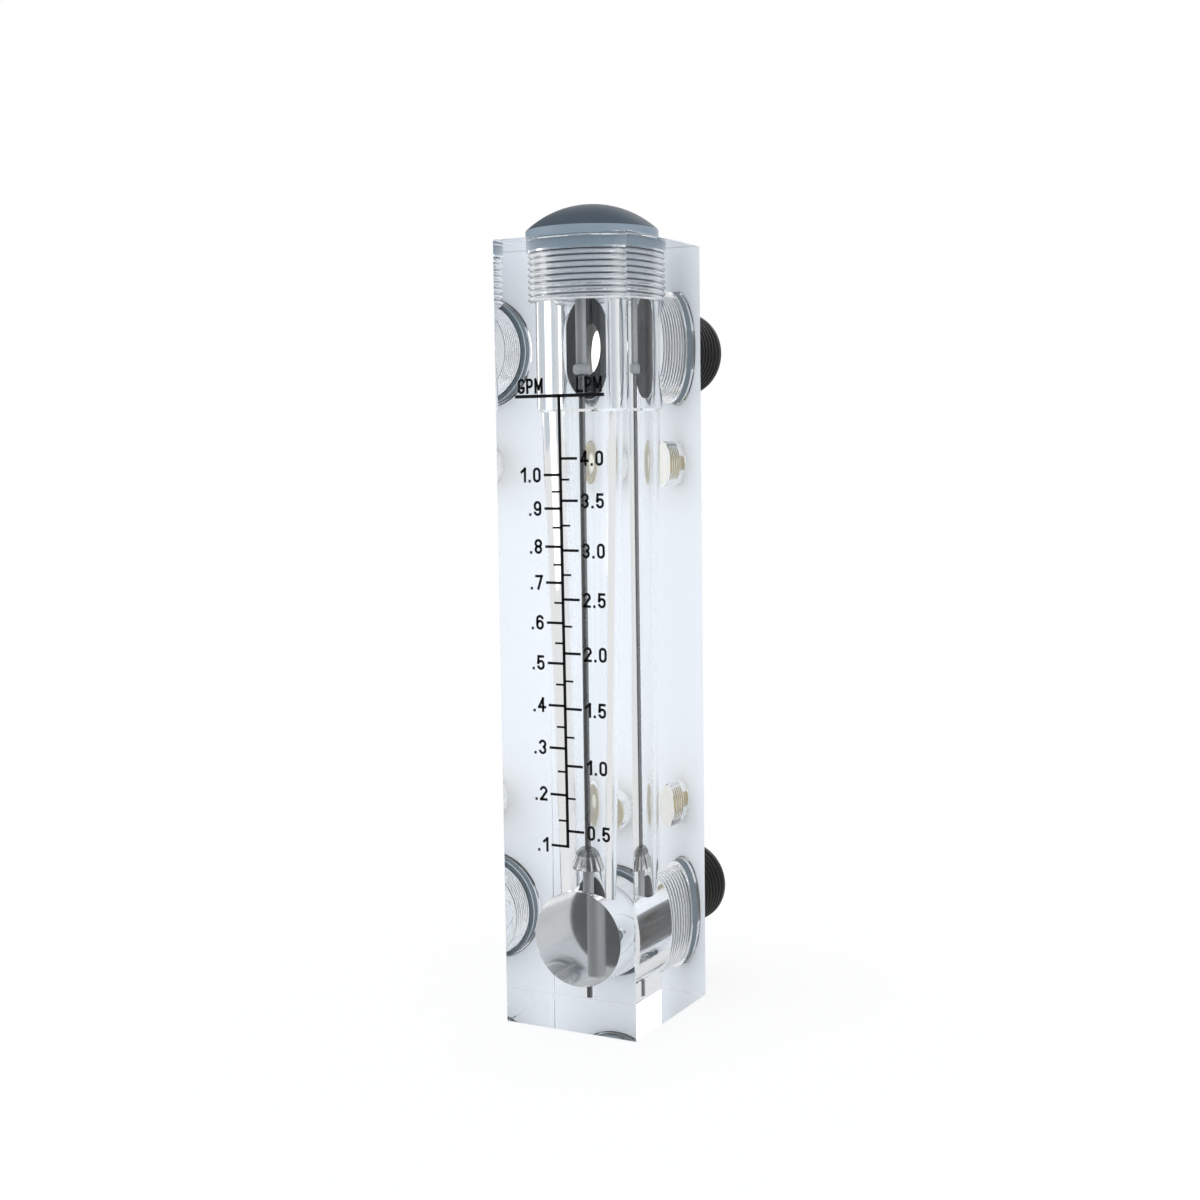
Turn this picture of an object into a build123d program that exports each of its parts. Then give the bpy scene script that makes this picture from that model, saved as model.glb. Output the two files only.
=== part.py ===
from build123d import *
from math import sqrt
import os

os.makedirs("parts", exist_ok=True)

# A panel-mounted liquid flow meter: a clear block with a tapered metering bore, read against
# a scale on its front face. Lengths are in millimetres. The frame has +X across the front,
# +Y towards the panel at the back and +Z up, with its origin at the centre of the bottom face.

# Clear block
block_width = 34.0
block_depth = 38.0
block_height = 181.0
edge_break = 0.3

# Metering bore, open at the top and tapering down to the lower port
bore_from_front = 16.0
taper_top_radius = 10.05
taper_bottom_radius = 6.7
chamber_radius = 11.05
chamber_below_port = 14.85

# Screwed mouths, one on top for the plug and two at the back for the connectors
plug_thread_radius = 12.9
port_thread_radius = 12.0
thread_play = 0.1
mouth_radius = 13.1
shoulder_play = 0.3
plug_neck_length = 2.8
plug_thread_length = 11.2
port_neck_length = 4.7
port_thread_length = 9.8
shank_end_gap = 0.4
shank_chamfer = 0.6
plug_above_port = 1.2

# Ports, bored from the back: the lower one crosses the metering bore, the upper ends in it
port_bore_radius = 11.2
lower_port_front_wall = 6.7
upper_port_front_wall = 21.8
lower_port_height = 20.6
upper_port_below_top = 23.8

# Top plug with its domed head
plug_head_radius = 15.25
plug_rim_height = 2.0
plug_dome_height = 6.0
plug_seat_gap = 0.3
neck_radius = 11.2
rim_rounding = 0.35
rod_socket_depth = 6.5

# Hose connectors
collar_radius = 13.45
collar_thickness = 3.0
relief_radius = 9.2
relief_length = 1.6
pipe_thread_radius = 10.4775
pipe_thread_pitch = 1.814
pipe_thread_depth = 1.16
pipe_crest_width = 0.4
pipe_length = 22.7
pipe_end_land = 1.5
pipe_chamfer = 0.5
flow_bore_radius = 6.4
flow_bore_chamfer = 0.5
wrench_flat_width = 24.0

# Face seals squeezed between a neck and its mouth
seal_end_gap = 0.1
port_seal_length = 3.5
seal_rounding = 0.8

# Guide rod and what is threaded on it
rod_radius = 1.15
rod_fit = 0.02
rod_foot_height = 5.35
rod_end_chamfer = 0.2
sleeve_fit = 0.05
upper_sleeve_radius = 2.0
lower_sleeve_radius = 2.1
stop_radius = 3.1
stop_height = 2.3
stop_rounding = 1.0
stop_below_port = 4.15

# Float
float_radius = 6.1
float_shoulder_radius = 4.5
float_nose_radius = 1.7
float_rim_height = 0.5
float_shoulder_height = 3.0
float_height = 4.15
float_rest_height = 36.1
float_running_fit = 0.1
float_seat_gap = 0.05
float_edge = 0.25

# Threaded brass inserts for the panel screws
insert_spacing = 82.0
insert_radius = 5.05
insert_length = 8.1
insert_hole_play = 0.05
insert_hole_depth = 8.3
insert_tap_radius = 2.5
insert_mouth_radius = 3.1
insert_recess = 0.1

# Planes and heights that follow from the sizes above
front_y = -block_depth / 2
back_y = block_depth / 2
bore_y = front_y + bore_from_front
upper_port_z = block_height - upper_port_below_top
chamber_floor_z = upper_port_z - chamber_below_port
plug_neck_z = block_height - plug_neck_length
plug_thread_z = plug_neck_z - plug_thread_length
port_neck_y = back_y - port_neck_length
port_thread_y = port_neck_y - port_thread_length
lower_port_front_y = front_y + lower_port_front_wall
upper_port_front_y = front_y + upper_port_front_wall
plug_shank_radius = plug_thread_radius - thread_play
port_shank_radius = port_thread_radius - thread_play
shoulder_radius = mouth_radius - shoulder_play
plug_seat_z = block_height + plug_seat_gap
plug_shank_z = upper_port_z + port_thread_radius + plug_above_port
stop_top_z = upper_port_z - stop_below_port
stop_bottom_z = stop_top_z - stop_height
insert_middle_z = (lower_port_height + upper_port_z) / 2
insert_heights = {
    "lower": insert_middle_z - insert_spacing / 2,
    "upper": insert_middle_z + insert_spacing / 2,
}
port_heights = {"inlet": lower_port_height, "outlet": upper_port_z}

bore_axis = Axis((0, bore_y, 0), (0, 0, 1))
bore_plane = Plane.XZ.offset(-bore_y)


def axis_through(height):
    """The level axis from front to back at one height."""
    return Axis((0, 0, height), (0, 1, 0))


def port_floor(radius):
    """Height at which an upright tube of this radius first meets the lower port's round floor."""
    return lower_port_height - sqrt(port_bore_radius**2 - radius**2)


# Clear block: every bore is turned about its own axis
with BuildPart() as meter_block:
    Box(block_width, block_depth, block_height, align=(Align.CENTER, Align.CENTER, Align.MIN))
    chamfer(meter_block.edges(), edge_break)

    with BuildSketch(bore_plane):
        with BuildLine():
            Polyline(
                (0, lower_port_height),
                (taper_bottom_radius, lower_port_height),
                (taper_top_radius, chamber_floor_z),
                (chamber_radius, chamber_floor_z),
                (chamber_radius, plug_thread_z),
                (plug_thread_radius, plug_thread_z),
                (plug_thread_radius, plug_neck_z),
                (mouth_radius, plug_neck_z),
                (mouth_radius, block_height),
                (0, block_height),
                close=True,
            )
        make_face()
    revolve(axis=bore_axis, mode=Mode.SUBTRACT)

    for height, tapped_from_y in (
        (lower_port_height, port_thread_y),
        (upper_port_z, upper_port_front_y),
    ):
        with BuildSketch(Plane.YZ):
            with BuildLine():
                Polyline(
                    (tapped_from_y, height),
                    (tapped_from_y, height + port_thread_radius),
                    (port_neck_y, height + port_thread_radius),
                    (port_neck_y, height + mouth_radius),
                    (back_y, height + mouth_radius),
                    (back_y, height),
                    close=True,
                )
            make_face()
        revolve(axis=axis_through(height), mode=Mode.SUBTRACT)

    with BuildSketch(Plane.XZ.offset(-lower_port_front_y)):
        with Locations((0, lower_port_height)):
            Circle(port_bore_radius)
    extrude(amount=-(port_thread_y - lower_port_front_y), mode=Mode.SUBTRACT)

    for height in insert_heights.values():
        with BuildSketch(Plane.XZ.offset(-back_y)):
            with Locations((0, height)):
                Circle(insert_radius + insert_hole_play)
        extrude(amount=insert_hole_depth, mode=Mode.SUBTRACT)

    with BuildSketch(Plane.XY.offset(rod_foot_height)):
        with Locations((0, bore_y)):
            Circle(rod_radius + rod_fit)
    extrude(amount=lower_port_height - rod_foot_height, mode=Mode.SUBTRACT)
meter_block.part.label = "meter_block"
export_step(meter_block.part, "parts/meter_block.step")


# Top plug: domed head, sealing neck and screwed shank, with a socket for the guide rod
with BuildPart() as top_plug:
    dome_base_z = plug_seat_z + plug_rim_height
    dome_top_z = dome_base_z + plug_dome_height
    dome_ball_radius = (plug_head_radius**2 + plug_dome_height**2) / (2 * plug_dome_height)
    with BuildSketch(bore_plane):
        with BuildLine():
            Polyline(
                (0, dome_top_z),
                (0, plug_shank_z),
                (plug_shank_radius - shank_chamfer, plug_shank_z),
                (plug_shank_radius, plug_shank_z + shank_chamfer),
                (plug_shank_radius, plug_neck_z),
                (neck_radius, plug_neck_z),
                (neck_radius, plug_seat_z),
                (plug_head_radius, plug_seat_z),
                (plug_head_radius, dome_base_z),
            )
            RadiusArc((plug_head_radius, dome_base_z), (0, dome_top_z), -dome_ball_radius)
        make_face()
    revolve(axis=bore_axis)
    circles = top_plug.edges().filter_by(GeomType.CIRCLE)
    rim = circles.filter_by(lambda edge: abs(edge.radius - plug_head_radius) < rim_rounding)
    fillet(rim, rim_rounding)
    with BuildSketch(Plane.XY.offset(plug_shank_z)):
        with Locations((0, bore_y)):
            Circle(rod_radius + rod_fit)
    extrude(amount=rod_socket_depth, mode=Mode.SUBTRACT)
top_plug.part.label = "top_plug"
export_step(top_plug.part, "parts/top_plug.step")


# Seal under the plug's head, filling the mouth around its neck
with BuildPart() as plug_seal:
    with BuildSketch(bore_plane) as plug_seal_section:
        with Locations((neck_radius, plug_neck_z + seal_end_gap)):
            Rectangle(
                mouth_radius - neck_radius,
                plug_seat_z - plug_neck_z - seal_end_gap,
                align=(Align.MIN, Align.MIN),
            )
        fillet(plug_seal_section.vertices(), seal_rounding)
    revolve(axis=bore_axis)
plug_seal.part.label = "plug_seal"
export_step(plug_seal.part, "parts/plug_seal.step")


# Connectors: screwed shank and neck in the block, collar on its back face, pipe thread outside.
# The thread is a row of rings at its pitch, with a plain land at the open end.
for name, height in port_heights.items():
    collar_back_y = back_y + collar_thickness
    pipe_start_y = collar_back_y + relief_length
    pipe_end_y = pipe_start_y + pipe_length
    pipe_root_radius = pipe_thread_radius - pipe_thread_depth
    shank_y = port_thread_y + shank_end_gap
    flank_width = (pipe_thread_pitch - pipe_crest_width) / 2
    turns = int((pipe_length - pipe_end_land - pipe_chamfer) / pipe_thread_pitch)
    rings = []
    for turn in range(turns):
        ring_y = pipe_start_y + turn * pipe_thread_pitch
        rings += [
            (ring_y, height + pipe_root_radius),
            (ring_y + flank_width, height + pipe_thread_radius),
            (ring_y + flank_width + pipe_crest_width, height + pipe_thread_radius),
        ]
    end_ring_y = pipe_start_y + turns * pipe_thread_pitch
    with BuildPart() as connector:
        with BuildSketch(Plane.YZ):
            with BuildLine():
                Polyline(
                    (shank_y, height + flow_bore_radius + flow_bore_chamfer),
                    (shank_y, height + port_shank_radius - shank_chamfer),
                    (shank_y + shank_chamfer, height + port_shank_radius),
                    (port_neck_y, height + port_shank_radius),
                    (port_neck_y, height + neck_radius),
                    (port_neck_y + seal_end_gap + port_seal_length, height + neck_radius),
                    (port_neck_y + seal_end_gap + port_seal_length, height + shoulder_radius),
                    (back_y, height + shoulder_radius),
                    (back_y, height + collar_radius),
                    (collar_back_y, height + collar_radius),
                    (collar_back_y, height + relief_radius),
                    (pipe_start_y, height + relief_radius),
                    *rings,
                    (end_ring_y, height + pipe_root_radius),
                    (end_ring_y + flank_width, height + pipe_thread_radius),
                    (pipe_end_y - pipe_chamfer, height + pipe_thread_radius),
                    (pipe_end_y, height + pipe_thread_radius - pipe_chamfer),
                    (pipe_end_y, height + flow_bore_radius + flow_bore_chamfer),
                    (pipe_end_y - flow_bore_chamfer, height + flow_bore_radius),
                    (shank_y + flow_bore_chamfer, height + flow_bore_radius),
                    close=True,
                )
            make_face()
        revolve(axis=axis_through(height))
        with BuildSketch(Plane.XZ.offset(-back_y)):
            with Locations((0, height)):
                Circle(collar_radius * 2)
                Rectangle(wrench_flat_width, collar_radius * 3, mode=Mode.SUBTRACT)
        extrude(amount=-collar_thickness, mode=Mode.SUBTRACT)
    connector.part.label = f"{name}_connector"
    export_step(connector.part, f"parts/{name}_connector.step")

    with BuildPart() as port_seal:
        with BuildSketch(Plane.YZ) as port_seal_section:
            with Locations((port_neck_y + seal_end_gap, height + neck_radius)):
                Rectangle(
                    port_seal_length,
                    mouth_radius - neck_radius,
                    align=(Align.MIN, Align.MIN),
                )
            fillet(port_seal_section.vertices(), seal_rounding)
        revolve(axis=axis_through(height))
    port_seal.part.label = f"{name}_seal"
    export_step(port_seal.part, f"parts/{name}_seal.step")


# Guide rod: stands in the block below the lower port and ends in the plug's socket
with BuildPart() as guide_rod:
    with BuildSketch(Plane.XY.offset(rod_foot_height)):
        with Locations((0, bore_y)):
            Circle(rod_radius)
    extrude(amount=plug_shank_z + rod_socket_depth - rod_fit - rod_foot_height)
    chamfer(guide_rod.edges().filter_by(GeomType.CIRCLE), rod_end_chamfer)
guide_rod.part.label = "guide_rod"
export_step(guide_rod.part, "parts/guide_rod.step")


# Sleeves that hold the rod's two ends and limit the float
lower_sleeve_z = port_floor(lower_sleeve_radius)
sleeves = {
    "lower_rod_sleeve": (
        lower_sleeve_z,
        float_rest_height - float_seat_gap - lower_sleeve_z,
        lower_sleeve_radius,
    ),
    "upper_rod_sleeve": (stop_top_z, plug_shank_z - stop_top_z, upper_sleeve_radius),
}
for name, (bottom_z, length, radius) in sleeves.items():
    with BuildPart() as sleeve:
        with BuildSketch(Plane.XY.offset(bottom_z)):
            with Locations((0, bore_y)):
                Circle(radius)
                Circle(rod_radius + sleeve_fit, mode=Mode.SUBTRACT)
        extrude(amount=length)
    sleeve.part.label = name
    export_step(sleeve.part, f"parts/{name}.step")


# Round bead that stops the float below the upper port
with BuildPart() as float_stop:
    with BuildSketch(bore_plane):
        with Locations((rod_radius + sleeve_fit, stop_bottom_z)):
            stop_section = Rectangle(
                stop_radius - rod_radius - sleeve_fit,
                stop_height,
                align=(Align.MIN, Align.MIN),
            )
        fillet(stop_section.vertices().group_by(Axis.X)[-1], stop_rounding)
    revolve(axis=bore_axis)
float_stop.part.label = "float_stop"
export_step(float_stop.part, "parts/float_stop.step")


# Float: a turned cone with a sharp reading edge at its foot and a low dome on top
with BuildPart() as float_body:
    float_bore = rod_radius + float_running_fit
    rim_z = float_rest_height + float_rim_height
    shoulder_z = float_rest_height + float_shoulder_height
    nose_z = float_rest_height + float_height
    with BuildSketch(bore_plane):
        with BuildLine():
            Polyline(
                (float_nose_radius, nose_z),
                (float_bore, nose_z),
                (float_bore, float_rest_height),
                (float_radius - float_edge, float_rest_height),
                (float_radius, float_rest_height + float_edge),
                (float_radius, rim_z),
                (float_shoulder_radius, shoulder_z),
            )
            TangentArc(
                (float_nose_radius, nose_z),
                (float_shoulder_radius, shoulder_z),
                tangent=(1, 0),
            )
        make_face()
    revolve(axis=bore_axis)
float_body.part.label = "float"
export_step(float_body.part, "parts/float.step")


# Brass inserts: tapped bushes pressed into the back face
for name, height in insert_heights.items():
    insert_back_y = back_y - insert_recess
    insert_front_y = insert_back_y - insert_length
    mouth_chamfer = insert_mouth_radius - insert_tap_radius
    with BuildPart() as mount_insert:
        with BuildSketch(Plane.YZ):
            with BuildLine():
                Polyline(
                    (insert_front_y, height + insert_mouth_radius),
                    (insert_front_y, height + insert_radius),
                    (insert_back_y, height + insert_radius),
                    (insert_back_y, height + insert_mouth_radius),
                    (insert_back_y - mouth_chamfer, height + insert_tap_radius),
                    (insert_front_y + mouth_chamfer, height + insert_tap_radius),
                    close=True,
                )
            make_face()
        revolve(axis=axis_through(height))
    mount_insert.part.label = f"{name}_mount_insert"
    export_step(mount_insert.part, f"parts/{name}_mount_insert.step")
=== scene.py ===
"""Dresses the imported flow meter: clear block, fittings, float, printed scale and studio."""
import math
import bmesh
import bpy
from bpy.props import FloatProperty, FloatVectorProperty, PointerProperty
from bpy.types import NodeSocket, Operator, Panel, PropertyGroup
from mathutils import Matrix, Vector


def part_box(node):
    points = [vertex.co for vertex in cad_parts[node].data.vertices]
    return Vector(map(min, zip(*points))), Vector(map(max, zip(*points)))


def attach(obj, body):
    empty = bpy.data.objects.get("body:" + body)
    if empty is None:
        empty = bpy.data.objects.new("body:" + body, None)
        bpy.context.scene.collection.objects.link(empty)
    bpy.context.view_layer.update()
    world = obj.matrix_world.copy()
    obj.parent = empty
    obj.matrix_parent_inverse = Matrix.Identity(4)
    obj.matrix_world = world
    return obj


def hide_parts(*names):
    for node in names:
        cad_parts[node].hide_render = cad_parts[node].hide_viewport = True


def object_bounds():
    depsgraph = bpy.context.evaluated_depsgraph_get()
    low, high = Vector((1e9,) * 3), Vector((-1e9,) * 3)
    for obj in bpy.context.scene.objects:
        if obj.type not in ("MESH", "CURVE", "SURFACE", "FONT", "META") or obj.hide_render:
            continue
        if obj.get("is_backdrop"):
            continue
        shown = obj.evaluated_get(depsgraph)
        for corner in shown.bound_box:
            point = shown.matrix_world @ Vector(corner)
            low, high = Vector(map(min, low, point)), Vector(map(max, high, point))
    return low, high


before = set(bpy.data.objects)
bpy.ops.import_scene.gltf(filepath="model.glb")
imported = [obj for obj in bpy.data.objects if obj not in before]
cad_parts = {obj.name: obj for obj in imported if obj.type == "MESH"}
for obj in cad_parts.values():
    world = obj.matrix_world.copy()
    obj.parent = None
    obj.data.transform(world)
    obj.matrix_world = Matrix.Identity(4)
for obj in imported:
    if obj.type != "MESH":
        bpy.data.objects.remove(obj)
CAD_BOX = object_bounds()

bl_info = {
    "name": "Clear block flow meter",
    "version": (1, 0, 0),
    "blender": (4, 5, 0),
    "location": "View3D > Sidebar > Flow meter",
    "description": "Builds a panel-mount flow meter round its solids",
    "category": "Add Mesh",
}

MM = 0.001
FINE_STEPS = 128
SMALL_STEPS = 64
THREAD_PARTS = 4
SHARP_ANGLE = math.radians(28)
WELD_DISTANCE = 1e-7
HAIR = 0.01 * MM
OVERCUT = 1 * MM
EDGE_ROUND = 0.15 * MM

BLOCK_LOW, BLOCK_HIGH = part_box("meter_block")
LOWER_PORT_Z = sum(corner.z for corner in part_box("inlet_seal")) / 2
UPPER_PORT_Z = sum(corner.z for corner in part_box("outlet_seal")) / 2
BORE_Y = sum(corner.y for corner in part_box("guide_rod")) / 2
SHOULDER_LENGTH = BLOCK_HIGH.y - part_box("outlet_seal")[1].y

# The brass inserts' M6 thread, and what is plain at both ends of the threads outside them
SCREW_PITCH, SCREW_CORE, SCREW_ROOT, SCREW_MOUTH = 1.0 * MM, 2.5 * MM, 3.0 * MM, 3.1 * MM
BUSH_FOOT_PLAIN, BUSH_HEAD_PLAIN = 0.4 * MM, 2.6 * MM
HOLE_FOOT_PLAIN, HOLE_HEAD_PLAIN = 0.6 * MM, 2.7 * MM

# Figures and letters in a box one wide and one high. A ring has its foot, its head and its
# parts, named as on a number pad: corners 7 9 1 3, sides 4 and 6, flats 8 and 2. A stroke has
# the places of its two ends.
WHOLE_RING = "12346789"
GLYPHS = {
    ".": [(0, 0, 0, 0.01)],
    "0": [(0, 1, WHOLE_RING)],
    "1": [(0.7, 0, 0.7, 1), (0.08, 0.74, 0.7, 1)],
    "2": [(0.42, 1, "7896"), (1, 0.66, 0, 0), (0, 0, 1, 0)],
    "3": [(0.49, 1, "78936"), (0, 0.49, "91236")],
    "4": [(0.74, 0, 0.74, 1), (0.74, 1, 0, 0.3), (0, 0.3, 1.1, 0.3)],
    "5": [(0.08, 1, 0.92, 1), (0.08, 1, 0.0, 0.46), (0, 0.62, "7891236")],
    "6": [(0, 0.6, WHOLE_RING), (0, 1, "7894")],
    "7": [(0, 1, 1, 1), (1, 1, 0.36, 0)],
    "8": [(0, 0.5, WHOLE_RING), (0.5, 1, WHOLE_RING)],
    "9": [(0.4, 1, WHOLE_RING), (0, 1, "1236")],
    "G": [(0, 1, "1234789"), (1, 0.2, 1, 0.37), (0.6, 0.37, 1, 0.37)],
    "L": [(0, 0, 0, 1), (0, 0, 0.95, 0)],
    "M": [(0, 0, 0, 1), (0, 1, 0.66, 0.25), (0.66, 0.25, 1.32, 1), (1.32, 0, 1.32, 1)],
    "P": [(0, 0, 0, 1), (0, 1, 0.5, 1), (0, 0.44, 0.5, 0.44), (0.44, 1, "8936")],
}
GLYPH_WIDTHS = {".": 0.0, "1": 0.7, "M": 1.32}
# Whether a ring's corner is at its right and at its head, and where its quarter turn starts
CORNERS = {"9": (1, 1, 0), "7": (0, 1, 1), "1": (0, 0, 2), "3": (1, 0, 3)}
BOW_STEPS = 6
# How thick a mark between numbers is beside a numbered one
SHORT_MARK_SHARE = 1 / 1.3

# Heights in millimetres of the numbered marks, a tenth of a gallon and half a litre apart
GALLON_HEIGHTS = (43.34, 55.18, 65.94, 75.7, 85.36, 94.57, 103.68, 111.82, 120.41, 127.96)
LITRE_HEIGHTS = (46.96, 62.0, 75.08, 87.72, 99.95, 111.02, 122.18, 131.62)
# In millimetres too: the long line's head, the ends of the line across it, the space between a
# mark and its figures, and each word with where it ends or starts, its height and its side
SCALE_HEAD = 145.6
CROSS_LINE = (-11.75, 11.0)
FIGURE_SPACE = 0.8
WORDS = (("GPM", -4.5, 147.9, -1), ("LPM", 4.0, 147.95, 1))

VECTOR, COLOUR, NUMBER = "NodeSocketVector", "NodeSocketColor", "NodeSocketFloat"
SKIN_OUTPUTS = (("Color", COLOUR), ("Roughness", NUMBER), ("Height", NUMBER))
GRAIN_HEIGHT, RING_HEIGHT, BORED_RING_HEIGHT = 0.1 * MM, 0.05 * MM, 0.02 * MM
GLOSS_RANGE = (0.3, 0.7)
BROAD_SCALE, SMEAR_SCALE, BORED_FINENESS = 120.0, 400.0, 2500.0
# Painted reflections on turned steel and sleeves: where the streaks round an axis turn from dark
# to bright, and how much of a skin's colour they set
REFLECTION_STREAK_EDGES, REFLECTION_STREAK_SHARE = (0.43, 0.56), 0.85
ACRYLIC_IOR = 1.49
STRAIGHT_TINT = (0.97, 0.98, 0.985, 1.0)
# The tapped bores' dark crest lines and greyed ground are painted shade, standing in for the dark
# fittings seen through the thread's flats
THREAD_SHADE_EDGES, THREAD_SHADE_GROUND = (0.3, 0.46), 0.78
THREAD_SHADE_LINE = (0.1, 0.13, 0.17, 1.0)
# The port's blind end is darkened by the first number below, as painted shade
BLIND_END_SHADE, INSERT_END_TINT = 0.56, (0.87, 0.83, 0.7)

# How much darker the studio is in a mirror, and the floor through the acrylic
MIRROR_LOSS, FLOOR_LOSS = 0.55, 0.2
FLOOR_COLOUR, FLOOR_ROUGHNESS = (0.86, 0.87, 0.88, 1), 0.9
FLOOR_REACH, FLOOR_FADE = 3.0, (0.03, 0.22)
# What the sky's middle part spans, its plain colour, and the room's colours by direction
SKY_SPAN = (0.2, 0.8)
PLAIN_SKY = (0.95, 0.97, 1, 1)
ROOM_SIDES = ((0.45, (1, 1, 1, 1)), (0.95, (0.62, 0.67, 0.73, 1)))
# Each lamp with its power and its place
LAMPS = (
    ("key", 1.1, (-0.62, -0.32, 0.24)),
    ("fill", 0.9, (0.66, -0.12, 0.24)),
    ("back", 1.1, (-0.1, 0.6, 0.4)),
)
LAMP_SIZE = 0.6
LAMP_TARGET = Vector((0, 0, 0.1))

PHOTO_SIZE = 1200
PHOTO_FOCAL_PIXELS = 1741.17
SENSOR_WIDTH = 36.0
VIEW_AZIMUTH = math.radians(27.97)
VIEW_ELEVATION = math.radians(5.07)
VIEW_ROLL = math.radians(-0.781)
VIEW_PLACE = Vector((0.19055, -0.36036, 0.13440))


def length(name, description, millimetres):
    """A size in metres whose default is given in millimetres."""
    return FloatProperty(
        name=name, description=description, default=millimetres * MM,
        min=0.0, unit="LENGTH", subtype="DISTANCE", precision=5,
    )


def colour(name, description, value):
    return FloatVectorProperty(
        name=name, description=description, default=value, size=3,
        min=0.0, max=1.0, subtype="COLOR",
    )


class BlockSizes(PropertyGroup):
    edge: length("Edge chamfer", "Flat polished along the block's twelve edges", 0.18)
    taper_foot: length("Taper foot radius", "Metering bore's radius at the lower port", 6.7)
    taper_head: length("Taper head radius", "Metering bore's radius under the chamber", 10.05)
    chamber: length("Chamber radius", "Radius of the plain chamber over the taper", 11.05)
    chamber_floor: length("Chamber floor", "Height of the step at the chamber's foot", 142.35)
    step_break: length("Step chamfer", "Chamfer and rounding at that step", 0.3)
    port: length("Port radius", "Radius of both cross bores", 11.2)
    lower_front: length("Lower port front wall", "Acrylic in front of the lower port", 6.7)
    upper_front: length("Upper port front wall", "Acrylic in front of the upper port", 21.8)
    plug_tapped: length("Plug thread radius", "Radius at the roots of the thread on top", 12.9)
    port_tapped: length("Port thread radius", "Radius at the roots of the ports' threads", 12.0)
    tapped_depth: length("Plug thread depth", "Depth of the thread on top", 0.85)
    port_depth: length("Port thread depth", "Depth of the ports' threads", 0.3)
    mouth: length("Mouth radius", "Radius of the plain mouths that hold the seals", 13.1)
    pitch: length("Thread pitch", "Pitch of the plug's and connectors' threads", 1.38)
    plug_neck: length("Plug mouth depth", "Depth of the mouth under the plug's head", 2.8)
    plug_thread: length("Plug thread length", "Length tapped under the plug's mouth", 11.2)
    port_neck: length("Port mouth depth", "Depth of the mouths behind the connectors", 4.7)
    port_thread: length("Port thread length", "Length tapped in each cross bore", 9.8)
    insert_hole: length("Insert hole radius", "Radius of the holes for the brass inserts", 5.1)
    insert_depth: length("Insert hole depth", "Depth of those holes", 8.3)
    insert_tapped: length("Insert thread depth", "Depth of the thread in those holes", 0.3)
    insert_pitch: length("Insert pitch", "Pitch of the threads round the inserts", 1.0)
    rod_hole: length("Rod hole radius", "Radius of the blind hole at the rod's foot", 1.17)


class FittingSizes(PropertyGroup):
    play: length("Thread play", "Gap between a fitting's thread and the block's", 0.1)
    shoulder_play: length("Shoulder play", "Gap round the connectors' shoulders", 0.3)
    neck: length("Neck radius", "Radius of the necks inside the seals", 11.2)
    head: length("Head radius", "Radius of the plug's domed head", 15.25)
    rim: length("Rim height", "Height of the head's upright rim", 2.0)
    dome: length("Dome height", "Height of the dome over the rim", 6.0)
    collar: length("Collar radius", "Radius of the connectors' collars", 13.45)
    collar_width: length("Collar thickness", "Thickness of those collars", 3.0)
    wrench_flat: length("Wrench flats", "Distance across a collar's two flats", 24.0)
    pipe_crest: length("Pipe thread radius", "Radius over the pipe threads", 10.4775)
    pipe_depth: length("Pipe thread depth", "Depth of the pipe thread", 1.16)
    pipe_pitch: length("Pipe pitch", "Pitch of the pipe thread", 1.814)
    pipe_relief: length("Pipe relief", "Length of the groove behind the collar", 1.6)
    pipe_land: length("Pipe land", "Plain length at the pipe's open end", 1.5)
    pipe_chamfer: length("Pipe chamfer", "Chamfer at the pipe's open end", 0.5)
    flow_bore: length("Flow bore radius", "Radius of the connectors' bores", 6.4)
    seal_contact: length("Seal contact", "How far a seal presses into the mouth's wall", 0.02)


class MovingSizes(PropertyGroup):
    float_radius: length("Float radius", "Largest radius of the float, which is read", 6.1)
    float_rim: length("Float rim", "Height of the upright rim at the float's foot", 0.5)
    shoulder: length("Float shoulder radius", "Radius where the cone meets the dome", 4.5)
    shoulder_height: length("Float shoulder height", "Height of that edge over the foot", 3.0)
    nose: length("Float nose radius", "Radius of the flat on the float's top", 1.7)
    rod: length("Rod radius", "Radius of the guide rod", 1.15)


class PrintSizes(PropertyGroup):
    line_width: length("Line width", "Width of the scale's long line", 0.75)
    mark_width: length("Mark width", "Width of a numbered mark", 0.6)
    long_mark: length("Long mark", "Length of a numbered mark", 4.3)
    short_mark: length("Short mark", "Length of a mark between numbers", 2.25)
    lean_foot: length("Foot offset", "How far right the long line stands at its foot", 0.15)
    lean_head: length("Head offset", "How far left the long line stands at its head", 0.42)
    figure_height: length("Figure height", "Height of the figures", 3.4)
    figure_width: length("Figure width", "Width of a figure between its strokes", 1.4)
    figure_gap: length("Figure gap", "Space between two figures", 0.6)
    letter_height: length("Letter height", "Height of the letters over the scale", 3.45)
    letter_width: length("Letter width", "Width of a letter between its strokes", 1.2)
    letter_gap: length("Letter gap", "Space between two letters", 0.35)
    pen: length("Pen", "Thickness of the strokes of figures and letters", 0.6)
    ink: length("Ink thickness", "How far the print stands off the block", 0.03)


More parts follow.
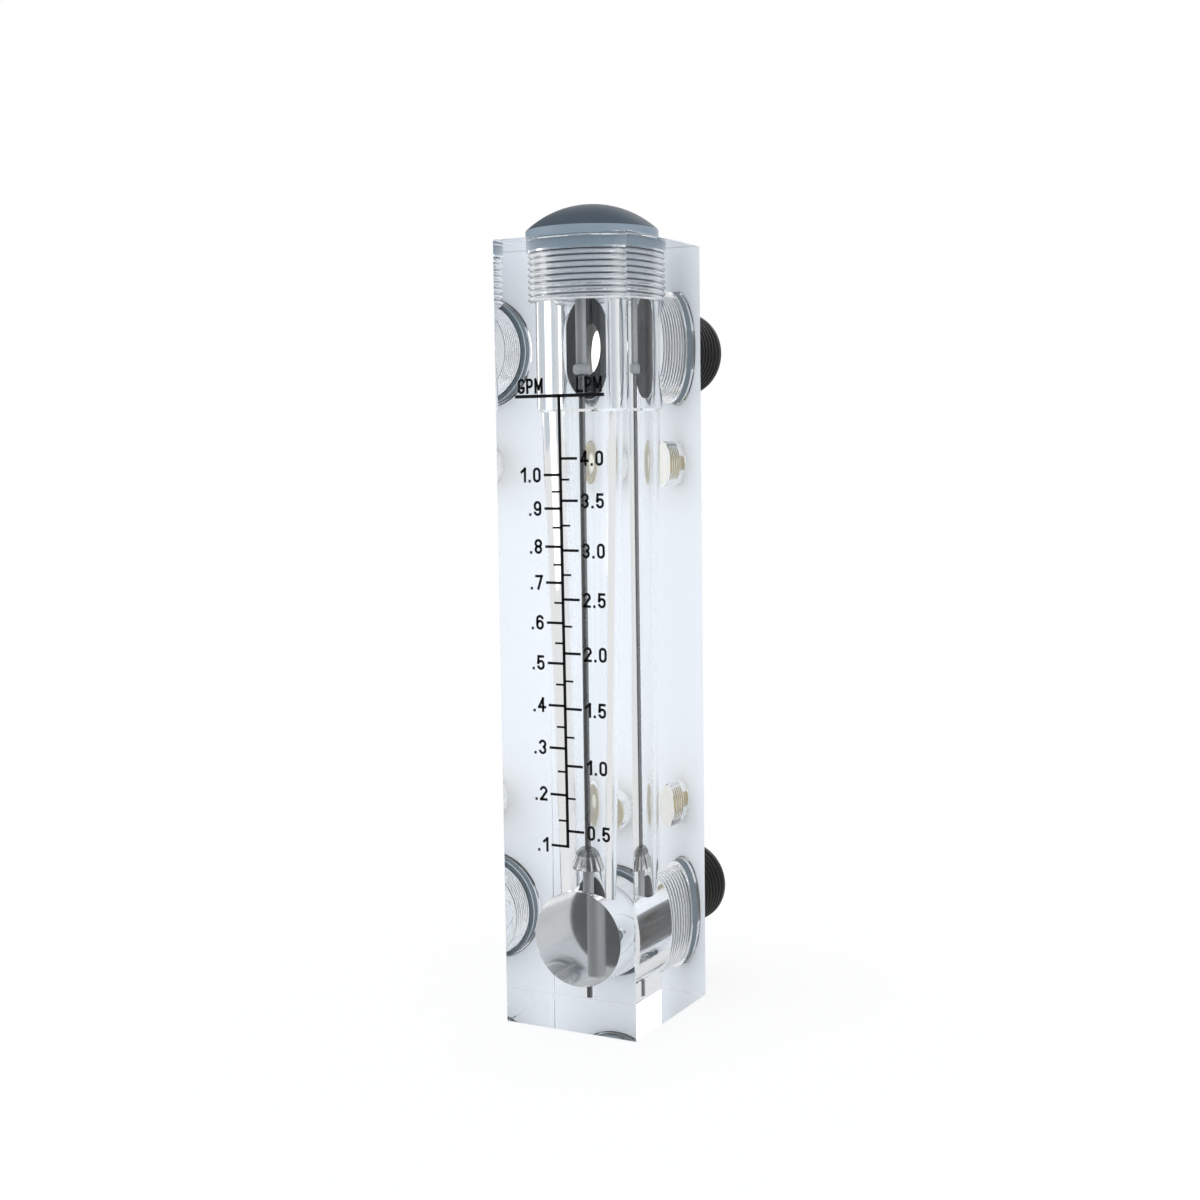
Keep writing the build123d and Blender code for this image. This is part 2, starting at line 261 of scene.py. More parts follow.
class Finishes(PropertyGroup):
    acrylic: colour("Acrylic", "Tint of the clear block", (0.975, 0.985, 0.99))
    frosting: colour("Frosting", "Pale look of the back face from inside", (0.92, 0.94, 0.97))
    # The plug is one slate plastic in two copies: a darker one on the dome as painted shade, a
    # lighter one on its rim and shank as painted light
    plug: colour("Plug", "Slate grey of the plug", (0.066, 0.09, 0.115))
    rim: colour("Plug rim and shank, painted lighter", "Lighter grey painted on the plug's rim and shank as light", (0.22, 0.275, 0.33))
    connector: colour("Connectors", "Black of the connectors", (0.016, 0.016, 0.015))
    # The connectors' ends inside the block are a darker copy of their plastic: painted shade
    shank: colour("Shanks, painted darker", "Darker slate painted on the connectors' ends in the block as shade", (0.007, 0.011, 0.016))
    seal: colour("Seals", "Blue-grey of the ports' seals", (0.09, 0.125, 0.15))
    plug_seal: colour("Plug seal", "Blue-grey of the plug's seal", (0.16, 0.215, 0.265))
    steel: colour("Steel", "Turned stainless steel of the float", (0.42, 0.42, 0.415))
    crown: colour("Float crown", "Duller steel of the float's crown", (0.2, 0.205, 0.205))
    # The rod's near-black steel is painted shade: its darkness stands in for the dark surroundings
    # it mirrors
    rod: colour("Rod", "Drawn stainless steel of the rod", (0.105, 0.108, 0.112))
    sleeve: colour("Sleeves", "Light grey of the rod's sleeves", (0.22, 0.225, 0.23))
    bead: colour("Float stop", "Pale grey of the bead", (0.26, 0.275, 0.285))
    brass: colour("Brass", "Machined brass of the inserts", (0.52, 0.42, 0.22))
    tapped: colour("Tapped brass", "Dull brass of the inserts' threads", (0.40, 0.38, 0.27))
    ink: colour("Ink", "Black of the printed scale", (0.006, 0.006, 0.007))


SIZE_GROUPS = {
    "meter_block_sizes": BlockSizes,
    "meter_fitting_sizes": FittingSizes,
    "meter_moving_sizes": MovingSizes,
    "meter_print_sizes": PrintSizes,
    "meter_finishes": Finishes,
}


def threaded(start, end, pitch, profile):
    """Outline points of a thread whose profile gives radii at shares of each turn."""
    count = max(1, round((end - start) / pitch))
    step = (end - start) / count
    return [(radius, start + (turn + share) * step)
            for turn in range(count) for radius, share in profile]


def ridges(start, end, pitch, low, high):
    """Outline points of V ridges between two radii along a thread."""
    return threaded(start, end, pitch, ((low, 0.12), (high, 0.38), (high, 0.62), (low, 0.88)))


def hollows(start, end, pitch, root, depth):
    """Outline points of a tapped thread, round at its roots and sharp at its crests."""
    shares = [part / THREAD_PARTS for part in range(-THREAD_PARTS, THREAD_PARTS + 1)]
    profile = [(root - depth * share ** 2, 0.5 + share / 2) for share in shares]
    return threaded(start, end, pitch, profile)


def arc(centre, radius, start, end, steps):
    """Outline points along an arc, in degrees from the radial direction."""
    points = []
    for step in range(steps + 1):
        angle = math.radians(start + (end - start) * step / steps)
        points.append((centre[0] + radius * math.cos(angle), centre[1] + radius * math.sin(angle)))
    return points


def turned(outline, closed=False, steps=FINE_STEPS):
    """Turns an outline of radius and height pairs round the upright axis."""
    mesh = bmesh.new()
    verts = [mesh.verts.new((radius, 0.0, height)) for radius, height in outline]
    edges = [mesh.edges.new(pair) for pair in zip(verts, verts[1:])]
    if closed:
        edges.append(mesh.edges.new((verts[-1], verts[0])))
    bmesh.ops.spin(
        mesh, geom=verts + edges, cent=(0, 0, 0), axis=(0, 0, 1), angle=2 * math.pi,
        steps=steps, use_merge=True, use_duplicate=False,
    )
    bmesh.ops.remove_doubles(mesh, verts=mesh.verts, dist=WELD_DISTANCE)
    bmesh.ops.recalc_face_normals(mesh, faces=mesh.faces)
    return mesh


def soften(mesh, width, sharpest=40.0):
    """Rounds the edges that meet at more than an angle."""
    limit = math.radians(sharpest)
    edges = [edge for edge in mesh.edges if edge.calc_face_angle(0.0) > limit]
    bmesh.ops.bevel(
        mesh, geom=edges, offset=width, offset_type="OFFSET", affect="EDGES",
        segments=2, profile=0.5, material=-1, clamp_overlap=True,
    )


def give(mesh, index, low, high):
    """Gives the faces of a turned solid between two heights another of its materials."""
    for face in mesh.faces:
        if low < face.calc_center_median().z < high:
            face.material_index = index


def stand(mesh, y, z):
    bmesh.ops.translate(mesh, vec=(0.0, y, z), verts=mesh.verts)


def lie_back(mesh, z):
    """Lays a turned piece along the ports' direction, its height towards the back."""
    turn = Matrix.Rotation(-math.pi / 2, 4, "X")
    bmesh.ops.transform(mesh, matrix=turn, verts=mesh.verts)
    bmesh.ops.translate(mesh, vec=(0.0, 0.0, z), verts=mesh.verts)


def finished(name, mesh, materials, smooth=True):
    """Makes a mesh an object whose sharp edges stay sharp."""
    data = bpy.data.meshes.new(name)
    mesh.to_mesh(data)
    mesh.free()
    for polygon in data.polygons:
        polygon.use_smooth = smooth
    if smooth:
        data.set_sharp_from_angle(angle=SHARP_ANGLE)
    for material in materials:
        data.materials.append(material)
    piece = bpy.data.objects.new(name, data)
    bpy.context.scene.collection.objects.link(piece)
    return piece


def place(piece, body, slot, *nodes):
    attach(piece, body)
    if nodes:
        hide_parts(*nodes)


def feed(tree, node, inputs):
    """Links each input that is given a socket, and sets each that is given a value."""
    for key, value in inputs.items():
        if isinstance(value, NodeSocket):
            tree.links.new(value, node.inputs[key])
        else:
            node.inputs[key].default_value = value


def add_node(tree, kind, inputs, **settings):
    node = tree.nodes.new(kind)
    for name, value in settings.items():
        setattr(node, name, value)
    feed(tree, node, inputs)
    return node


def math_node(tree, operation, *values):
    inputs = dict(enumerate(values))
    return add_node(tree, "ShaderNodeMath", inputs, operation=operation).outputs[0]


def smooth_range(tree, value, low, high, first=0.0, last=1.0):
    """Goes smoothly from the first to the last number while a value goes from low to high."""
    return add_node(tree, "ShaderNodeMapRange", {
        "Value": value, "From Min": low, "From Max": high, "To Min": first, "To Max": last,
    }, interpolation_type="SMOOTHSTEP").outputs[0]


def mixed_colour(tree, share, first, second):
    inputs = {"Factor": share, 6: first, 7: second}
    return add_node(tree, "ShaderNodeMix", inputs, data_type="RGBA").outputs[2]


def mixed_shader(tree, share, first, second):
    return add_node(tree, "ShaderNodeMixShader", {0: share, 1: first, 2: second}).outputs[0]


def place_along(tree, places, axis):
    return add_node(tree, "ShaderNodeSeparateXYZ", {0: places}).outputs[axis]


def shader_group(name, inputs, outputs):
    """An empty node group with named sockets; gives its tree, its inputs and its end node."""
    tree = bpy.data.node_groups.new(name, "ShaderNodeTree")
    for label, kind, default in inputs:
        socket = tree.interface.new_socket(label, in_out="INPUT", socket_type=kind)
        socket.default_value = default
    for label, kind in outputs:
        tree.interface.new_socket(label, in_out="OUTPUT", socket_type=kind)
    return tree, tree.nodes.new("NodeGroupInput").outputs, tree.nodes.new("NodeGroupOutput")


def end_skin(tree, start, end, colour_share, gloss_share, height):
    """Ends a skin's group: its colour, its gloss and the height of its grain."""
    gloss = add_node(tree, "ShaderNodeMapRange", {
        "Value": gloss_share, "From Min": GLOSS_RANGE[0], "From Max": GLOSS_RANGE[1],
        "To Min": start["Low gloss"], "To Max": start["High gloss"],
    })
    colour_out = mixed_colour(tree, colour_share, start["Dark"], start["Light"])
    feed(tree, end, {"Color": colour_out, "Roughness": gloss.outputs[0], "Height": height})
    return tree


def half_of_both(tree, first, second):
    return math_node(tree, "MULTIPLY", math_node(tree, "ADD", first, second), 0.5)


def grain_group(name):
    """Uneven colour, uneven gloss and a fine skin for moulded and rubber pieces."""
    tree, start, end = shader_group(name, [
        ("Vector", VECTOR, (0, 0, 0)),
        ("Dark", COLOUR, (0.1, 0.1, 0.1, 1)),
        ("Light", COLOUR, (0.2, 0.2, 0.2, 1)),
        ("Grain", NUMBER, 2500.0),
        ("Low gloss", NUMBER, 0.4),
        ("High gloss", NUMBER, 0.6),
    ], SKIN_OUTPUTS)
    fine = add_node(tree, "ShaderNodeTexNoise", {
        "Vector": start["Vector"], "Scale": start["Grain"], "Detail": 3.0}).outputs[0]
    broad = add_node(tree, "ShaderNodeTexNoise", {
        "Vector": start["Vector"], "Scale": BROAD_SCALE}).outputs[0]
    both = half_of_both(tree, fine, broad)
    return end_skin(tree, start, end, both, both, fine)


def streaks_round(tree, start):
    """Painted reflections: dark and bright streaks that change only with the direction round the
    upright axis.
    """
    vector = start["Vector"]
    for operation, other in (
        ("SUBTRACT", {1: start["Axis place"]}),
        ("MULTIPLY", {1: (1, 1, 0)}),
        ("NORMALIZE", {}),
    ):
        inputs = {0: vector, **other}
        vector = add_node(
            tree, "ShaderNodeVectorMath", inputs, operation=operation).outputs[0]
    noise = add_node(tree, "ShaderNodeTexNoise", {
        "Vector": vector, "Scale": start["Streaks"], "Detail": 1.0})
    return smooth_range(tree, noise.outputs[0], *REFLECTION_STREAK_EDGES)


def turning_group(name):
    """Fine rings that a lathe tool leaves round an axis, with a little colour in them, and by a
    share painted reflection streaks round the axis.
    """
    tree, start, end = shader_group(name, [
        ("Along", NUMBER, 0.0),
        ("Vector", VECTOR, (0, 0, 0)),
        ("Fineness", NUMBER, 9000.0),
        ("Dark", COLOUR, (0.4, 0.4, 0.4, 1)),
        ("Light", COLOUR, (0.6, 0.6, 0.6, 1)),
        ("Low gloss", NUMBER, 0.1),
        ("High gloss", NUMBER, 0.3),
        ("Axis place", VECTOR, (0, 0, 0)),
        ("Streaks", NUMBER, 3.0),
        ("Reflection streak share", NUMBER, 0.0),
    ], SKIN_OUTPUTS)
    rings = add_node(tree, "ShaderNodeTexNoise", {
        "W": start["Along"], "Scale": start["Fineness"], "Detail": 4.0,
    }, noise_dimensions="1D").outputs[0]
    smear = add_node(tree, "ShaderNodeTexNoise", {
        "Vector": start["Vector"], "Scale": SMEAR_SCALE}).outputs[0]
    both = half_of_both(tree, rings, smear)
    share = add_node(tree, "ShaderNodeMix", {
        "Factor": start["Reflection streak share"], 2: both, 3: streaks_round(tree, start)}).outputs[0]
    return end_skin(tree, start, end, share, both, rings)


def thread_group(name):
    """Painted shade: thin dark lines at a thread's crests, on a greyed ground, laid in as colour.
    """
    tree, start, end = shader_group(name, [
        ("Along", NUMBER, 0.0),
        ("Crest place", NUMBER, 0.0),
        ("Pitch", NUMBER, 0.001),
        ("Shaded ground", COLOUR, (0.9, 0.9, 0.9, 1)),
        ("Line", COLOUR, (0.3, 0.3, 0.3, 1)),
    ], SKIN_OUTPUTS[:1])
    run = math_node(tree, "SUBTRACT", start["Along"], start["Crest place"])
    turn = math_node(tree, "FRACT", math_node(tree, "DIVIDE", run, start["Pitch"]))
    far = math_node(tree, "ABSOLUTE", math_node(tree, "SUBTRACT", turn, 0.5))
    line = smooth_range(tree, far, *THREAD_SHADE_EDGES)
    feed(tree, end, {"Color": mixed_colour(tree, line, start["Shaded ground"], start["Line"])})
    return tree


GROUP_MAKERS = {
    "Moulded skin": grain_group,
    "Turning marks": turning_group,
    "Thread lines": thread_group,
}


def group_node(tree, name, inputs):
    """A node of one of the groups above, which is made at its first use."""
    group = bpy.data.node_groups.get(name) or GROUP_MAKERS[name](name)
    return add_node(tree, "ShaderNodeGroup", inputs, node_tree=group)


def blank_material(name):
    material = bpy.data.materials.new(name)
    material.use_nodes = True
    tree = material.node_tree
    places = tree.nodes.new("ShaderNodeTexCoord").outputs["Object"]
    return material, tree, tree.nodes["Principled BSDF"], places


def skin_inputs(places, value, spread, gloss):
    """A skin's inputs: a darker and a lighter tone about a colour, and two gloss values."""
    return {
        "Vector": places,
        "Dark": [max(0.0, part * (1 - spread)) for part in value] + [1.0],
        "Light": [min(1.0, part * (1 + spread)) for part in value] + [1.0],
        "Low gloss": gloss[0],
        "High gloss": gloss[1],
    }


def bump_from(tree, shader, skin, strength, distance):
    bump = add_node(tree, "ShaderNodeBump", {
        "Strength": strength, "Distance": distance, "Height": skin.outputs["Height"]})
    feed(tree, shader, {"Normal": bump.outputs["Normal"]})


def moulded(name, value, grain=2500.0, gloss=(0.35, 0.5), spread=0.12, strength=0.12, shine=0.5):
    """Moulded plastic, rubber or ink."""
    material, tree, shader, places = blank_material(name)
    skin = group_node(tree, "Moulded skin", {
        **skin_inputs(places, value, spread, gloss), "Grain": grain})
    feed(tree, shader, {
        "Base Color": skin.outputs["Color"], "Roughness": skin.outputs["Roughness"],
        "Specular IOR Level": shine,
    })
    bump_from(tree, shader, skin, strength, GRAIN_HEIGHT)
    return material


def machined(name, value, axis, fineness=9000.0, gloss=(0.12, 0.28), spread=0.15, reflection_streaks=0.0,
             metal=1.0):
    """Metal turned on a lathe, with rings along an axis and, if asked, painted reflection streaks
    round it.
    """
    material, tree, shader, places = blank_material(name)
    skin = group_node(tree, "Turning marks", {
        **skin_inputs(places, value, spread, gloss), "Fineness": fineness,
        "Along": place_along(tree, places, axis),
    })
    # Dark and bright streaks round the axis, painted as reflections, then set most of the colour
    if reflection_streaks:
        feed(tree, skin, {
            "Axis place": (0.0, BORE_Y, 0.0), "Streaks": reflection_streaks, "Reflection streak share": REFLECTION_STREAK_SHARE})
    feed(tree, shader, {
        "Base Color": skin.outputs["Color"], "Roughness": skin.outputs["Roughness"],
        "Metallic": metal,
    })
    bump_from(tree, shader, skin, 0.15, RING_HEIGHT)
    return material


def clear(name, value, roughness, axis, strength=0.0, clearness=1.0, backing=None):
    """Clear acrylic; light for what stands inside passes straight through it.

    A backing is the plain colour that a frosted face shows from inside.
    """
    material, tree, shader, places = blank_material(name)
    skin = group_node(tree, "Turning marks", {
        "Vector": places, "Fineness": BORED_FINENESS,
        "Low gloss": roughness[0], "High gloss": roughness[1],
    })
    if axis:
        feed(tree, skin, {"Along": place_along(tree, places, axis)})
    feed(tree, shader, {
        "Base Color": (*value, 1.0), "Roughness": skin.outputs["Roughness"],
        "Transmission Weight": clearness, "IOR": ACRYLIC_IOR,
    })
    if strength:
        bump_from(tree, shader, skin, strength, BORED_RING_HEIGHT)
    seen = shader.outputs[0]
    if backing is not None:
        pale = add_node(tree, "ShaderNodeBsdfDiffuse", {"Color": (*backing, 1.0)}).outputs[0]
        inside = tree.nodes.new("ShaderNodeNewGeometry").outputs["Backfacing"]
        seen = mixed_shader(tree, inside, seen, pale)
    rays = tree.nodes.new("ShaderNodeLightPath").outputs
    passed = math_node(tree, "MAXIMUM", rays["Is Shadow Ray"], rays["Is Diffuse Ray"])
    gap = add_node(tree, "ShaderNodeBsdfTransparent", {"Color": STRAIGHT_TINT}).outputs[0]
    feed(tree, tree.nodes["Material Output"], {
        "Surface": mixed_shader(tree, passed, seen, gap)})
    return material


def thread_lines(material, value, axis, crest_place, pitch):
    """Paints a tapped bore's thread shade into its acrylic's colour: dark crest lines on a greyed
    ground.
    """
    tree = material.node_tree
    places = tree.nodes.new("ShaderNodeTexCoord").outputs["Object"]
    lines = group_node(tree, "Thread lines", {
        "Along": place_along(tree, places, axis), "Crest place": crest_place, "Pitch": pitch,
        "Shaded ground": [part * THREAD_SHADE_GROUND for part in value] + [1.0], "Line": THREAD_SHADE_LINE,
    })
    feed(tree, tree.nodes["Principled BSDF"], {"Base Color": lines.outputs["Color"]})


def cut(block, cutter):
    """Cuts one turned solid out of the block and drops the cutter."""
    modifier = block.modifiers.new("Cut", "BOOLEAN")
    modifier.operation = "DIFFERENCE"
    modifier.solver = "EXACT"
    modifier.material_mode = "TRANSFER"
    modifier.object = cutter
    graph = bpy.context.evaluated_depsgraph_get()
    result = bpy.data.meshes.new_from_object(block.evaluated_get(graph))
    block.modifiers.clear()
    old = block.data
    block.data = result
    bpy.data.meshes.remove(old)
    bpy.data.objects.remove(cutter)


class FLOWMETER_OT_block(Operator):
    """Makes the clear block with its bores, threads and insert holes"""
    bl_idname = "flowmeter.block"
    bl_label = "Clear block"

    def execute(self, context):
        sizes = context.scene.meter_block_sizes
        tint = self.tint = context.scene.meter_finishes.acrylic
        self.bored_up = clear("Bored acrylic", tint, (0.0, 0.02), "Z", 0.04)
        self.bored_back = clear("Cross-bored acrylic", tint, (0.0, 0.03), "Y", 0.04)
        self.tapped_up = clear("Tapped acrylic", tint, (0.0, 0.03), "Z", 0.05, clearness=0.72)
        self.milled = clear("Milled acrylic", tint, (0.45, 0.6), "Z", 0.1, clearness=0.25)
        self.insert_end = clear(
            "Insert end acrylic", INSERT_END_TINT, (0.3, 0.45), "X", 0.1, clearness=0.6)
        # The lower port's blind end is tinted darker: painted shade over what is seen through it
        shaded_end_tint = [part * BLIND_END_SHADE for part in tint]
        self.bored_end = clear("Bored end acrylic painted darker", shaded_end_tint, (0.12, 0.22), "X", 0.1, clearness=0.92)
        faces = clear("Polished acrylic", tint, (0.0, 0.012), None)
        sawn = clear("Sawn acrylic", tint, (0.5, 0.65), "X", 0.1,
                     backing=context.scene.meter_finishes.frosting)
        body = bmesh.new()
        bmesh.ops.create_cube(body, size=1.0)
        span = BLOCK_HIGH - BLOCK_LOW
        middle = (BLOCK_HIGH + BLOCK_LOW) / 2
        bmesh.ops.scale(body, vec=span, verts=body.verts)
        bmesh.ops.translate(body, vec=middle, verts=body.verts)
        bmesh.ops.bevel(
            body, geom=list(body.edges), offset=sizes.edge, offset_type="OFFSET",
            affect="EDGES", segments=1, profile=0.5, material=-1,
        )
        for face in body.faces:
            if face.calc_center_median().y > BLOCK_HIGH.y - 0.7 * sizes.edge:
                face.material_index = 1
        block = finished("clear_block", body, [faces, sawn])
        for cutter in self.bores(sizes):
            cut(block, cutter)
        if len(block.data.polygons) < 1000:
            raise RuntimeError("The bores didn't cut the block")
        for polygon in block.data.polygons:
            polygon.use_smooth = True
        block.data.set_sharp_from_angle(angle=SHARP_ANGLE)
        place(block, "body", "clear_acrylic", "meter_block")
        return {"FINISHED"}

    def bores(self, sizes):
        """The solids that the drill, reamer and tap take out."""
        yield self.metering_bore(sizes)
        yield self.port(sizes, LOWER_PORT_Z, sizes.lower_front, False)
        yield self.port(sizes, UPPER_PORT_Z, sizes.upper_front, True)
        for node in ("lower_mount_insert", "upper_mount_insert"):
            yield self.insert_hole(sizes, node)
        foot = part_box("guide_rod")[0].z - 0.05 * MM
        wide = sizes.rod_hole
        outline = [(0.0, foot), (wide, foot), (wide, LOWER_PORT_Z), (0.0, LOWER_PORT_Z)]
        mesh = turned(outline, steps=SMALL_STEPS)
        stand(mesh, BORE_Y, 0.0)
        yield finished("rod_hole_cutter", mesh, [self.bored_up])

    def mouth(self, sizes, foot, head):
        """Outline points of the plain, chamfered mouth that a bore ends in."""
        wide = sizes.mouth + sizes.edge
        return [(sizes.mouth, foot), (sizes.mouth, head - sizes.edge), (wide, head),
                (wide, head + OVERCUT), (0.0, head + OVERCUT)]

    def metering_bore(self, sizes):
        top = BLOCK_HIGH.z
        mouth_foot = top - sizes.plug_neck
        thread_foot = mouth_foot - sizes.plug_thread
        mesh = turned([
            (0.0, LOWER_PORT_Z),
            (sizes.taper_foot, LOWER_PORT_Z),
            (sizes.taper_head, sizes.chamber_floor - sizes.step_break),
            (sizes.taper_head + sizes.step_break, sizes.chamber_floor),
            (sizes.chamber - sizes.step_break, sizes.chamber_floor),
            (sizes.chamber, sizes.chamber_floor + sizes.step_break),
            (sizes.chamber, thread_foot),
            *hollows(thread_foot, mouth_foot, sizes.pitch, sizes.plug_tapped, sizes.tapped_depth),
            *self.mouth(sizes, mouth_foot, top),
        ])
        give(mesh, 1, thread_foot, mouth_foot)
        stand(mesh, BORE_Y, 0.0)
        turns = round(sizes.plug_thread / sizes.pitch)
        # Dark crest lines and a greyed ground are painted into the tapped acrylic as shade
        thread_lines(self.tapped_up, self.tint, "Z", thread_foot, sizes.plug_thread / turns)
        return finished("bore_cutter", mesh, [self.bored_up, self.tapped_up])

    def port(self, sizes, height, front_wall, tapped_through):
        """The lower port crosses the metering bore, the upper one is tapped to its end."""
        back = BLOCK_HIGH.y
        foot = BLOCK_LOW.y + front_wall
        mouth_foot = back - sizes.port_neck
        thread_foot = foot if tapped_through else mouth_foot - sizes.port_thread
        bore = [] if tapped_through else [(sizes.port, foot), (sizes.port, thread_foot)]
        mesh = turned([
            (0.0, foot),
            *bore,
            *hollows(thread_foot, mouth_foot, sizes.pitch, sizes.port_tapped, sizes.port_depth),
            *self.mouth(sizes, mouth_foot, back),
        ])
        give(mesh, 1, thread_foot, mouth_foot)
        give(mesh, 2, thread_foot - HAIR, thread_foot + HAIR)
        if not tapped_through:
            give(mesh, 3, foot - HAIR, foot + HAIR)
        lie_back(mesh, height)
        turns = round((mouth_foot - thread_foot) / sizes.pitch)
        # The cross-tapped acrylic gets dark crest lines and a greyed ground, painted as shade
        tapped = clear("Cross-tapped acrylic", self.tint, (0.03, 0.1), "Y", 0.05, clearness=0.55)
        thread_lines(tapped, self.tint, "Y", mouth_foot, (mouth_foot - thread_foot) / turns)
        materials = [self.bored_back, tapped, self.milled, self.bored_end]
        return finished("port_cutter", mesh, materials)

    def insert_hole(self, sizes, node):
        back = BLOCK_HIGH.y
        foot = back - sizes.insert_depth
        low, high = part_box(node)
        root = sizes.insert_hole + sizes.insert_tapped
        mesh = turned([
            (0.0, foot),
            (sizes.insert_hole, foot),
            *hollows(foot + HOLE_FOOT_PLAIN, back - HOLE_HEAD_PLAIN, sizes.insert_pitch, root,
                     sizes.insert_tapped),
            (sizes.insert_hole, back + OVERCUT),
            (0.0, back + OVERCUT),
        ], steps=SMALL_STEPS)
        give(mesh, 1, foot - HAIR, foot + HAIR)
        lie_back(mesh, (low.z + high.z) / 2)
        return finished("hole_cutter", mesh, [self.bored_back, self.insert_end])


class FLOWMETER_OT_plug(Operator):
    """Makes the domed top plug and its seal"""
    bl_idname = "flowmeter.plug"
    bl_label = "Top plug"

    def execute(self, context):
        sizes = context.scene.meter_fitting_sizes
        block = context.scene.meter_block_sizes
        finishes = context.scene.meter_finishes
        low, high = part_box("top_plug")
        top = BLOCK_HIGH.z
        mouth_foot = top - block.plug_neck
        thread_foot = mouth_foot - block.plug_thread
        rim_foot = high.z - sizes.dome - sizes.rim
        half = sizes.head
        ball = (half ** 2 + sizes.dome ** 2) / (2 * sizes.dome)
        edge_angle = math.degrees(math.acos(half / ball))
        crown = arc((0.0, high.z - ball), ball, edge_angle, 90.0, 28)
        crest = block.plug_tapped - sizes.play
        thread = hollows(thread_foot, mouth_foot, block.pitch, crest, block.tapped_depth)
        outline = [
            (0.0, low.z),
            (crest - block.tapped_depth, low.z),
            *[point for point in thread if point[1] > low.z + 0.2 * MM],
            (sizes.neck, mouth_foot),
            (sizes.neck, rim_foot),
            (half, rim_foot),
            *crown,
        ]
        mesh = turned(outline)
        soften(mesh, EDGE_ROUND, 35.0)
        # The rim, neck, thread and shank take the lighter copy, painted light; the dome keeps the
        # darker copy, painted shade
        give(mesh, 1, low.z - HAIR, rim_foot + sizes.rim)
        stand(mesh, BORE_Y, 0.0)
        grey = moulded(
            "Slate plastic painted darker", finishes.plug, grain=2200.0, gloss=(0.38, 0.52), shine=0.3)
        rim = moulded("Rim and shank plastic painted lighter", finishes.rim, grain=3000.0, gloss=(0.38, 0.52))
        place(finished("domed_plug", mesh, [grey, rim]), "body", "grey_plastic", "top_plug")
        low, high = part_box("plug_seal")
        mesh = seal(sizes, block, low.z, high.z)
        stand(mesh, BORE_Y, 0.0)
        rubber = moulded("Plug rubber", finishes.plug_seal, grain=1500.0, gloss=(0.5, 0.65))
        feed(rubber.node_tree, rubber.node_tree.nodes["Principled BSDF"], {
            "Sheen Weight": 1.0, "Sheen Roughness": 0.5})
        place(finished("plug_ring", mesh, [rubber]), "body", "seal_rubber", "plug_seal")
        return {"FINISHED"}


def seal(fitting, block, foot, head):
    """A square-cut seal with rounded corners, from a fitting's neck to its mouth's wall."""
    inner = fitting.neck + 0.05 * MM
    outer = block.mouth + fitting.seal_contact
    bend = 0.5 * MM
    points = []
    for x, z, start in (
        (outer - bend, foot + bend, -90.0),
        (outer - bend, head - bend, 0.0),
        (inner + bend, head - bend, 90.0),
        (inner + bend, foot + bend, 180.0),
    ):
        points += arc((x, z), bend, start, start + 90.0, 6)
    return turned(points, closed=True)


class FLOWMETER_OT_connectors(Operator):
    """Makes the two threaded connectors at the back and their seals"""
    bl_idname = "flowmeter.connectors"
    bl_label = "Connectors"

    def execute(self, context):
        sizes = context.scene.meter_fitting_sizes
        block = context.scene.meter_block_sizes
        finishes = context.scene.meter_finishes
        black = moulded("Black plastic", finishes.connector, grain=2600.0, gloss=(0.3, 0.42),
                        spread=0.25, shine=0.25)
        rubber = moulded("Port rubber", finishes.seal, grain=1500.0, gloss=(0.5, 0.65))
        shaded_slate = moulded("Shank plastic painted darker", finishes.shank, grain=2600.0, gloss=(0.4, 0.55),
                        spread=0.25, shine=0.1)
        for name, height in (("inlet", LOWER_PORT_Z), ("outlet", UPPER_PORT_Z)):
            mesh = self.connector(name + "_connector", sizes, block)
            lie_back(mesh, height)
            place(finished(name + "_fitting", mesh, [black, shaded_slate]), "body", "black_plastic",
                  name + "_connector")
            low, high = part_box(name + "_seal")
            mesh = seal(sizes, block, low.y, high.y)
            lie_back(mesh, height)
            place(finished(name + "_ring", mesh, [rubber]), "body", "seal_rubber",
                  name + "_seal")
        return {"FINISHED"}

    def connector(self, node, sizes, block):
        low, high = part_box(node)
        back = BLOCK_HIGH.y
        mouth_foot = back - block.port_neck
        thread_foot = mouth_foot - block.port_thread
        crest = block.port_tapped - sizes.play
        root = crest - block.port_depth
        thread = hollows(thread_foot, mouth_foot, block.pitch, crest, block.port_depth)
        shoulder = block.mouth - sizes.shoulder_play
        shoulder_foot = back - SHOULDER_LENGTH
        collar_back = back + sizes.collar_width
        relief = sizes.pipe_crest - sizes.pipe_depth
        pipe_foot = collar_back + sizes.pipe_relief
        pipe_end = high.y - sizes.pipe_chamfer
        turns = int((pipe_end - sizes.pipe_land - pipe_foot) / sizes.pipe_pitch)
        pipe_head = pipe_foot + turns * sizes.pipe_pitch
        pipe = ridges(pipe_foot, pipe_head, sizes.pipe_pitch, relief, sizes.pipe_crest)
        outline = [
            (sizes.flow_bore, low.y),
            (root, low.y),
            *[point for point in thread if point[1] > low.y + 0.2 * MM],
            (sizes.neck, mouth_foot),
            (sizes.neck, shoulder_foot),
            (shoulder, shoulder_foot),
            (shoulder, back),
            (sizes.collar, back),
            (sizes.collar, collar_back),
            (relief, collar_back),
            *pipe,
            (relief, pipe_head),
            (sizes.pipe_crest, pipe_head + sizes.pipe_pitch / 2),
            (sizes.pipe_crest, pipe_end),
            (sizes.pipe_crest - sizes.pipe_chamfer, high.y),
            (sizes.flow_bore, high.y),
            (sizes.flow_bore, back),
        ]
        mesh = turned(outline, closed=True)
        half = sizes.wrench_flat / 2
        for vert in mesh.verts:
            if back - HAIR < vert.co.z < collar_back + HAIR:
                vert.co.x = max(-half, min(half, vert.co.x))
        soften(mesh, 0.12 * MM, 35.0)
        # The part inside the block takes the darker copy of the connector's plastic, painted shade
        give(mesh, 1, low.y - HAIR, back - HAIR)
        return mesh


